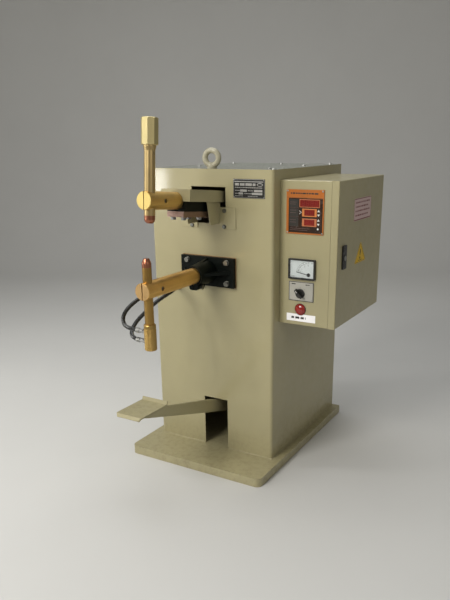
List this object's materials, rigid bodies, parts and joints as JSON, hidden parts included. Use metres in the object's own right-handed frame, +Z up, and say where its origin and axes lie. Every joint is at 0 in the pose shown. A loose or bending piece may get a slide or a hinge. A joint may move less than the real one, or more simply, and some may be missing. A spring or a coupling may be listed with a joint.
{
  "type": "spot welder",
  "caption": "Free-standing pedal-operated rocker-arm spot welder with round brass arms, water-cooled electrode holders and a side control box with a timer panel.",
  "frame": {"origin": "on the base's flat underside, on the centre line, under the cabinet's front face", "axes": "+Z up, the front with the arms and the pedal faces -Y, the control box is on the +X side"},
  "size_m": [0.7339, 1.0565, 1.2056],
  "materials": {
    "painted_body": "satin gloss",
    "blue_grey_lid": "satin gloss",
    "black_paint": "satin",
    "brass": "machined, handled",
    "copper": "machined",
    "laminated_copper": "foil pack",
    "steel": "zinc plated",
    "nameplate": "printed, black fields",
    "insulator": "laminate sheet",
    "rubber": "matte",
    "core_steel": "laminated, varnished",
    "winding": "varnished tape",
    "spring_steel": "oiled",
    "orange_plastic": "satin",
    "dark_panel": "gloss",
    "black_plastic": "satin",
    "grey_panel": "satin",
    "white_mark": "matte",
    "red_lens": "gloss",
    "bearing_iron": "as cast",
    "aluminium": "extruded"
  },
  "bodies": {
    "cabinet": {"base_plate": "painted_body", "cabinet_shell": "painted_body", "rear_panel": "painted_body", "top_cover": "blue_grey_lid", "cover_screws": "steel", "eye_bolt": "painted_body", "nameplate": "nameplate", "mouth_guards": "painted_body", "arm_bracket": "black_paint", "bracket_insulator": "insulator", "front_bolts": "steel", "lower_arm": "brass", "hose_grommet": "rubber", "hose_outer": "rubber", "hose_inner": "rubber", "rocker_bearings": "bearing_iron", "support_rails": "painted_body", "transformer_core": "core_steel", "transformer_coils": "winding", "secondary_bus": "copper", "pedal_bearings": "bearing_iron", "return_spring": "spring_steel", "limit_switch": "black_plastic", "control_box": "painted_body", "door_hinges": "steel", "timer_bezel": "orange_plastic", "timer_face": "dark_panel", "meter_case": "black_plastic", "switch_plate": "grey_panel", "lamp_lens": "red_lens", "thyristor_unit": "aluminium", "mains_gland": "black_plastic", "water_ports": "brass"},
    "pedal": {"pedal_arm": "painted_body", "pedal_plate": "painted_body", "pedal_shaft": "steel"},
    "rocker": {"rocker_frame": "painted_body", "rocker_shaft": "steel", "upper_clamp": "black_paint", "rocker_bolts": "steel", "shunt": "laminated_copper"},
    "upper_arm": {"upper_arm": "brass"},
    "upper_holder": {"upper_holder": "brass", "upper_cap": "brass", "upper_tip": "copper"},
    "lower_holder": {"lower_holder": "brass", "lower_cap": "brass", "lower_tip": "copper", "hose_nipples": "steel"},
    "link": {"link_rod": "steel", "pressure_spring": "spring_steel"},
    "door": {"control_door": "painted_body", "latch_plate": "black_plastic"},
    "lock": {"door_lock": "steel"},
    "needle": {"meter_needle": "black_plastic"},
    "knob": {"selector_knob": "black_plastic"},
    "key_time_up": {"key_time_up": "white_mark"},
    "key_time_down": {"key_time_down": "white_mark"},
    "key_heat_up": {"key_heat_up": "white_mark"},
    "key_heat_down": {"key_heat_down": "white_mark"}
  },
  "joints": [
    {"name": "pedal_press", "type": "hinge", "parent": "cabinet", "child": "pedal", "pos_m": [0.007, 0.31, 0.1], "axis": [1, 0, 0], "range_deg": [0, 11.5], "stiffness_Nm_per_rad": 70, "springref_deg": -40.11, "deforming": ["return_spring"]},
    {"name": "rocker_tilt", "type": "hinge", "parent": "cabinet", "child": "rocker", "pos_m": [-0.005, 0.17, 0.9292], "axis": [1, 0, 0], "range_deg": [0, 4.95], "deforming": ["shunt"]},
    {"name": "link_swing", "type": "hinge", "parent": "rocker", "child": "link", "pos_m": [0.007, 0.41311, 0.90836], "axis": [1, 0, 0], "range_deg": [-5, 0]},
    {"name": "upper_arm_slide", "type": "slide", "parent": "rocker", "child": "upper_arm", "axis": [0, -0.9963, 0.0854], "range_m": [0, 0.0296]},
    {"name": "upper_holder_slide", "type": "slide", "parent": "upper_arm", "child": "upper_holder", "axis": [0, -0.0854, -0.9963], "range_m": [-0.02, 0.03]},
    {"name": "lower_holder_slide", "type": "slide", "parent": "cabinet", "child": "lower_holder", "axis": [0, 0, 1], "range_m": [-0.01, 0.028], "deforming": ["hose_outer", "hose_inner"]},
    {"name": "door_swing", "type": "hinge", "parent": "cabinet", "child": "door", "pos_m": [0.42455, 0.4893, 0.778], "axis": [0, 0, 1], "range_deg": [0, 110]},
    {"name": "lock_turn", "type": "hinge", "parent": "door", "child": "lock", "pos_m": [0.44, 0.1055, 0.77], "axis": [-1, 0, 0], "range_deg": [0, 90]},
    {"name": "needle_swing", "type": "hinge", "parent": "cabinet", "child": "needle", "pos_m": [0.353, 0.0427, 0.7151], "axis": [0, 1, 0], "range_deg": [0, 80], "stiffness_Nm_per_rad": 0.0004, "springref_deg": -28.65},
    {"name": "selector_turn", "type": "hinge", "parent": "cabinet", "child": "knob", "pos_m": [0.324, 0.045, 0.65], "axis": [0, 1, 0], "range_deg": [0, 90]},
    {"name": "key_time_up_press", "type": "slide", "parent": "cabinet", "child": "key_time_up", "axis": [0, 1, 0], "range_m": [0, 0.0007], "stiffness_N_per_m": 400, "springref_m": -0.001},
    {"name": "key_time_down_press", "type": "slide", "parent": "cabinet", "child": "key_time_down", "axis": [0, 1, 0], "range_m": [0, 0.0007], "stiffness_N_per_m": 400, "springref_m": -0.001},
    {"name": "key_heat_up_press", "type": "slide", "parent": "cabinet", "child": "key_heat_up", "axis": [0, 1, 0], "range_m": [0, 0.0007], "stiffness_N_per_m": 400, "springref_m": -0.001},
    {"name": "key_heat_down_press", "type": "slide", "parent": "cabinet", "child": "key_heat_down", "axis": [0, 1, 0], "range_m": [0, 0.0007], "stiffness_N_per_m": 400, "springref_m": -0.001}
  ],
  "couplings": [
    {"joint": "rocker_tilt", "follows": "pedal_press", "ratio": 0.42623},
    {"joint": "link_swing", "follows": "pedal_press", "ratio": -0.42623}
  ]
}
